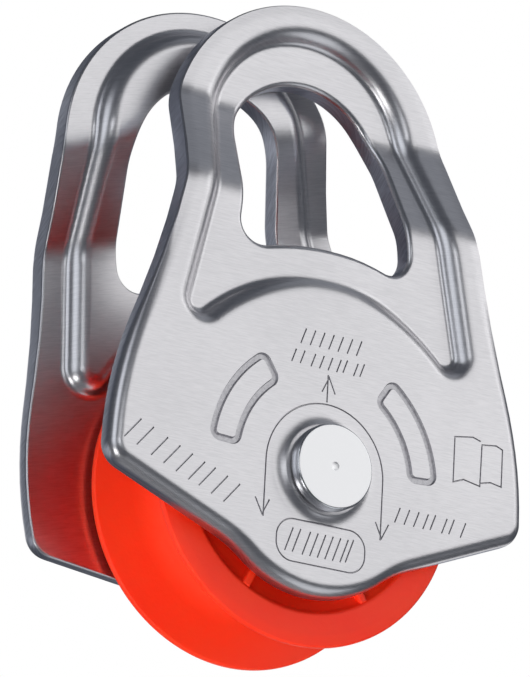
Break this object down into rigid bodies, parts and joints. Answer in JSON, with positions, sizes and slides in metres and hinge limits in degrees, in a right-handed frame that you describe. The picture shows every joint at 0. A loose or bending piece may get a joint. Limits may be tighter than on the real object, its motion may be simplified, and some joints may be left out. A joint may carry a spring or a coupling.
{
  "type": "rope pulley",
  "caption": "Swing-side rope pulley: grooved plastic sheave on a riveted axle between pressed aluminium side plates that turn on it and end in slotted carabiner loops.",
  "frame": {"origin": "middle of the axle, halfway between the two side plates, on the sheave's axis of rotation", "axes": "+Y along the axle from the front plate to the rear plate; +Z from the axle towards the loop of the front plate; +X completes a right-handed frame"},
  "size_m": [0.0602, 0.0296, 0.083],
  "materials": {
    "plate_aluminium": "satin, fine straight brushing, bright rounded edges",
    "sheave_nylon": "moulded nylon, fine matt grain",
    "axle_steel": "turned, satin face with a bright chamfer",
    "bush_bronze": "sintered bronze, oil-filled, matt",
    "thrust_washer_steel": "stamped sheet steel",
    "head_washer_polymer": "black acetal"
  },
  "bodies": {
    "front_plate": {"front_side_plate": "plate_aluminium"},
    "axle": {"axle_pin": "axle_steel", "rear_axle_head": "axle_steel", "spacer_sleeve": "axle_steel", "front_thrust_washer": "thrust_washer_steel", "rear_thrust_washer": "thrust_washer_steel", "front_head_washer": "head_washer_polymer", "rear_head_washer": "head_washer_polymer"},
    "rear_plate": {"rear_side_plate": "plate_aluminium"},
    "sheave_wheel": {"sheave": "sheave_nylon", "front_flanged_bush": "bush_bronze", "rear_flanged_bush": "bush_bronze"}
  },
  "joints": [
    {"name": "front_plate_swing", "type": "hinge", "parent": "front_plate", "child": "axle", "pos_m": [0, 0, 0], "axis": [0, 1, 0], "continuous": true},
    {"name": "rear_plate_swing", "type": "hinge", "parent": "axle", "child": "rear_plate", "pos_m": [0, 0, 0], "axis": [0, 1, 0], "continuous": true},
    {"name": "sheave_spin", "type": "hinge", "parent": "axle", "child": "sheave_wheel", "pos_m": [0, 0, 0], "axis": [0, 1, 0], "continuous": true}
  ]
}
